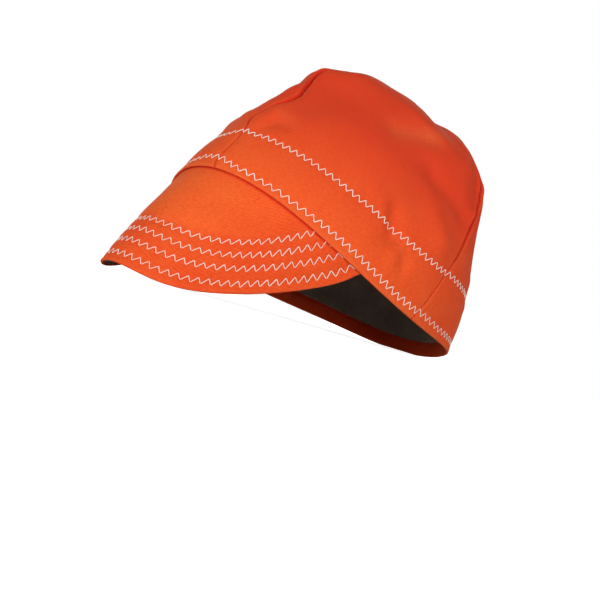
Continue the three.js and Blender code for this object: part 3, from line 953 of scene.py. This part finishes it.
ORANGE_DEEP, ORANGE_LIGHT = (0.76, 0.092, 0.016), (0.88, 0.148, 0.027)
ORANGE_BETWEEN_RIBS = (0.64, 0.042, 0.008)
# Painted shade: deeper red towards the crown's top and back, where less light falls.
ORANGE_ALOFT_SHADE = (0.61, 0.038, 0.012)          # towards the crown's top and back
# Paler orange of real wear, also used for a painted sheen.
ORANGE_WEAR_AND_SHEEN = (0.70, 0.15, 0.042)
# Painted shade in creases.
ORANGE_CREASE_SHADE = (0.58, 0.014, 0.005)
TWILL_TURN = 84
RAW_YARN, RAW_YARN_LIGHT = (0.42, 0.36, 0.28), (0.70, 0.62, 0.51)
LINING_WORN = (0.27, 0.22, 0.18)
# Deep, light and speck colours of the crown's and the peak's lining.
LINING_COLOURS = (
    ((0.19, 0.142, 0.108), (0.27, 0.210, 0.165), (0.38, 0.31, 0.25)),
    ((0.27, 0.222, 0.175), (0.38, 0.320, 0.255), (0.52, 0.45, 0.36)),
)


class Nodes:
    """A node tree under construction, with the node that its results go to."""

    def __init__(self, owner, base="Principled BSDF"):
        owner.use_nodes = True
        self.owner, self.tree = owner, owner.node_tree
        self.base = self.tree.nodes[base]

    def feed(self, node, inputs):
        for key, value in inputs.items():
            socket = node.inputs[key]
            if isinstance(value, bpy.types.NodeSocket):
                self.tree.links.new(value, socket)
            elif socket.type == "RGBA":
                socket.default_value = (*value, 1.0)
            else:
                socket.default_value = value

    def node(self, kind, inputs=None, **settings):
        made = self.tree.nodes.new("ShaderNode" + kind)
        for key, value in settings.items():
            setattr(made, key, value)
        self.feed(made, inputs or {})
        return made

    def place(self):
        return self.node("TexCoord").outputs["Object"]

    def attribute(self, name):
        return self.node("Attribute", attribute_name=name).outputs["Fac"]

    def math(self, operation, *values):
        return self.node("Math", dict(enumerate(values)), operation=operation).outputs[0]

    def total(self, *terms):
        """Sum of terms, each a value and its weight."""
        out = 0.0
        for value, weight in terms:
            out = self.math("MULTIPLY_ADD", value, weight, out)
        return out

    def mix(self, share, a, b):
        return self.node("Mix", {0: share, 6: a, 7: b}, data_type="RGBA").outputs[2]

    def noise(self, vector, scale, detail=2.0):
        return self.node("TexNoise", {"Vector": vector, "Scale": scale, "Detail": detail}).outputs["Fac"]

    def turned(self, vector, turn, stretch=1.0):
        """The vector turned, then slowed down along its second axis."""
        for name, value in (("Rotation", (0, 0, math.radians(turn))), ("Scale", (1, 1 / stretch, 1))):
            vector = self.node("Mapping", {"Vector": vector, name: value}).outputs["Vector"]
        return vector

    def stripes(self, vector, turn, pitch, distortion):
        """Sine stripes at an angle, a pitch apart in the vector's unit."""
        inputs = {"Vector": self.turned(vector, turn), "Scale": 2 * math.pi / (20 * pitch)}
        inputs.update({"Distortion": distortion, "Detail": 1.0})
        return self.node("TexWave", inputs, wave_type="BANDS", bands_direction="X").outputs["Fac"]

    def spread(self, value, low, high, to_low=0.0, to_high=1.0, **settings):
        inputs = {"Value": value, "From Min": low, "From Max": high, "To Min": to_low, "To Max": to_high}
        return self.node("MapRange", inputs, **settings).outputs["Result"]

    def bump(self, height, strength, distance):
        inputs = {"Height": height, "Strength": strength, "Distance": distance}
        return self.node("Bump", inputs).outputs["Normal"]

    def surface(self, inputs):
        self.feed(self.base, inputs)
        return self.owner


def orange_twill():
    s = Nodes(bpy.data.materials.new("orange_twill_cloth"))
    place = s.place()
    cloth = s.node("UVMap", uv_map="cloth_mm").outputs["UV"]
    ribs = s.stripes(cloth, TWILL_TURN, 0.72, 0.6)
    broad_ribs = s.stripes(cloth, TWILL_TURN, 1.45, 1.2)
    yarns = s.stripes(cloth, TWILL_TURN - 62, 0.5, 0.8)
    slubs = s.noise(s.turned(cloth, TWILL_TURN, 2.2), 0.9)
    patches = s.noise(place, 38.0, 3.0)
    fuzz = s.noise(place, 1500.0)
    tone = s.total((slubs, 0.6), (patches, 0.4))
    plain = s.mix(s.spread(tone, 0.36, 0.64), ORANGE_DEEP, ORANGE_LIGHT)
    between_ribs = s.spread(s.total((ribs, 0.4), (broad_ribs, 0.6)), 0.0, 1.0, 0.4, 0.0)
    shaded = s.mix(between_ribs, plain, ORANGE_BETWEEN_RIBS)
    axes = s.node("SeparateXYZ", {0: place}).outputs
    # Painted shade: the cloth turns deeper red higher up and towards the back.
    aloft_shade = s.spread(s.total((axes["Z"], 1.0), (axes["Y"], 0.5)), 0.012, 0.095, 0.0, 0.9)
    shaded_aloft = s.mix(aloft_shade, shaded, ORANGE_ALOFT_SHADE)
    # Paler where the cloth is worn and where a sheen is painted on.
    wear_and_sheen_share = s.math("MULTIPLY", s.attribute("worn"), s.spread(slubs, 0.15, 0.65, 0.0, 0.4))
    worn_and_sheened = s.mix(wear_and_sheen_share, shaded_aloft, ORANGE_WEAR_AND_SHEEN)
    # Painted shade in the creases.
    crease_shaded = s.mix(s.math("MULTIPLY", s.attribute("crease"), 0.9), worn_and_sheened, ORANGE_CREASE_SHADE)
    height = s.total((ribs, 0.5), (yarns, 0.22), (slubs, 0.5), (fuzz, 0.3))
    return s.surface({
        "Base Color": crease_shaded,
        "Roughness": s.math("MULTIPLY_ADD", fuzz, 0.12, 0.84),
        "Specular IOR Level": 0.12,
        "Subsurface Weight": 0.3,
        "Subsurface Radius": (1.0, 0.18, 0.08),
        "Subsurface Scale": 0.0018,
        "Sheen Weight": 0.12,
        "Sheen Roughness": 0.25,
        "Sheen Tint": (1.0, 0.68, 0.45),
        "Normal": s.bump(height, 0.6, 0.00016),
    })


def dark_lining(name, raw):
    """Dark woven lining. Its raw edge, where it has one, shows paler yarns."""
    s = Nodes(bpy.data.materials.new(name))
    place = s.place()
    worn = s.attribute("worn")
    weave = s.noise(place, 1300.0)
    deep, light, speck = LINING_COLOURS[raw]
    plain = s.mix(s.spread(s.noise(place, 60.0, 3.0), 0.35, 0.65), deep, light)
    colour = s.mix(s.spread(weave, 0.45, 0.75, 0.0, 0.5), plain, speck)
    if raw:
        ragged = s.total((worn, 1.0), (s.noise(place, 420.0, 3.0), 1.1))
        colour = s.mix(s.spread(ragged, 0.9, 1.3), colour, s.mix(weave, RAW_YARN, RAW_YARN_LIGHT))
    else:
        colour = s.mix(s.math("MULTIPLY", worn, 0.5), colour, LINING_WORN)
    return s.surface({
        "Base Color": colour,
        "Roughness": s.math("MULTIPLY_ADD", weave, 0.15, 0.82),
        "Specular IOR Level": 0.25,
        "Sheen Weight": 0.15,
        "Sheen Roughness": 0.5,
        "Normal": s.bump(weave, 0.6, 0.00025),
    })


def thread(name, pale, deep):
    s = Nodes(bpy.data.materials.new(name))
    place = s.place()
    fibre = s.noise(place, 2600.0)
    share = s.total((fibre, 0.5), (s.noise(place, 140.0), 0.5))
    return s.surface({
        "Base Color": s.mix(s.spread(share, 0.35, 0.65), deep, pale),
        "Roughness": s.math("MULTIPLY_ADD", fibre, 0.25, 0.5),
        "Sheen Weight": 0.2,
        "Normal": s.bump(fibre, 0.5, 0.00012),
    })


def plain_floor():
    """Pale floor that glows towards the camera, more so away from the cap."""
    s = Nodes(bpy.data.materials.new("pale_floor"))
    seen = s.node("LightPath").outputs["Is Camera Ray"]
    away = s.node("VectorMath", {0: s.place()}, operation="LENGTH").outputs["Value"]
    glow = s.spread(away, 0.12, 0.42, 0.84, 1.1, interpolation_type="SMOOTHSTEP")
    return s.surface({
        "Base Color": (0.92, 0.92, 0.92),
        "Roughness": 0.9,
        "Specular IOR Level": 0.1,
        "Emission Color": (1, 1, 1),
        "Emission Strength": s.math("MULTIPLY", seen, glow),
    })


# The cap

orange = orange_twill()
dark = dark_lining("dark_lining_cloth", raw=False)
dark_raw = dark_lining("dark_peak_cloth", raw=True)
# The white thread's warm pink tint is painted bounce light from the orange cloth.
white_thread = thread("white_thread", (0.90, 0.80, 0.72), (0.80, 0.68, 0.59))
grey_thread = thread("grey_thread", (0.62, 0.54, 0.44), (0.46, 0.39, 0.32))
pale_yarn = thread("pale_yarn", (0.74, 0.67, 0.57), (0.48, 0.42, 0.35))

for panel_name, seam_from, seam_to in PANELS:
    crown_panel(panel_name, seam_from, seam_to, orange)
crown_lining(dark)
peak_top(orange)
peak_lining(dark_raw)
frayed_edge(pale_yarn)
for number, row in enumerate(crown_rows):
    crown_stitches(CROWN_ROWS[number][0], row, 51 + number, white_thread)
for number, row in enumerate(peak_rows):
    peak_stitches(f"peak_stitch_row_{number + 1}", row, 61 + number, white_thread)
    under_stitches(f"peak_under_stitch_row_{number + 1}", row, 71 + number, grey_thread)

# Stage, light and camera

bpy.ops.mesh.primitive_plane_add(size=12, location=(0, 0, -0.0002))
floor = bpy.context.object
floor.name = "floor"
floor.data.materials.append(plain_floor())

# The room is white to the camera and dimmer to the cap, most of all from above.
world = bpy.data.worlds.new("studio")
bpy.context.scene.world = world
sky = Nodes(world, "Background")
climb = sky.node("SeparateXYZ", {0: sky.node("TexCoord").outputs["Generated"]}).outputs["Z"]
dusk = sky.spread(climb, 0.05, 0.9, 0.34, 0.10)
seen = sky.node("LightPath").outputs["Is Camera Ray"]
sky.surface({"Color": (1, 1, 1), "Strength": sky.spread(seen, 0.0, 1.0, dusk, 1.0)})


def placed(right, lift, back, place):
    rows = np.eye(4)
    rows[:3] = np.stack([right, lift, back, place], axis=1)
    return Matrix(rows.tolist())


def soft_light(name, place, target, size, watts):
    data = bpy.data.lights.new(name, "AREA")
    data.shape = "SQUARE"
    data.size = size
    data.energy = watts
    back = unit(np.array(place) - np.array(target))
    right = unit(np.cross((0, 0, 1), back))
    add_object(name, data).matrix_world = placed(right, np.cross(back, right), back, place)


LIT_PLACE = (0, 0, 0.06)
soft_light("key_light", (0.25, -1.25, 0.36), LIT_PLACE, 0.7, 10.5)
soft_light("fill_light", (1.25, -0.25, 0.36), LIT_PLACE, 0.7, 8)
soft_light("back_light", (-1.0, 0.85, 0.42), LIT_PLACE, 0.9, 9)

YAW, PITCH, ROLL = 41.654, -0.607, 16.635
FOCAL_PIXELS = 1002.32
FRAME_PIXELS = 600
SENSOR = 36.0
PLACE = (0.37866, -0.41258, 0.006)

yaw, pitch, roll = (math.radians(v) for v in (YAW, PITCH, ROLL))
back = np.array([math.sin(yaw) * math.cos(pitch), -math.cos(yaw) * math.cos(pitch), math.sin(pitch)])
level_right = np.array([math.cos(yaw), math.sin(yaw), 0.0])
level_lift = np.cross(back, level_right)
right = math.cos(roll) * level_right + math.sin(roll) * level_lift
lift = -math.sin(roll) * level_right + math.cos(roll) * level_lift
camera_data = bpy.data.cameras.new("camera")
camera_data.sensor_width = SENSOR
camera_data.lens = SENSOR * FOCAL_PIXELS / FRAME_PIXELS
camera_data.clip_start = 0.01
camera = add_object("camera", camera_data)
camera.matrix_world = placed(right, lift, back, PLACE)
bpy.context.scene.camera = camera
bpy.context.scene.view_settings.view_transform = "Standard"
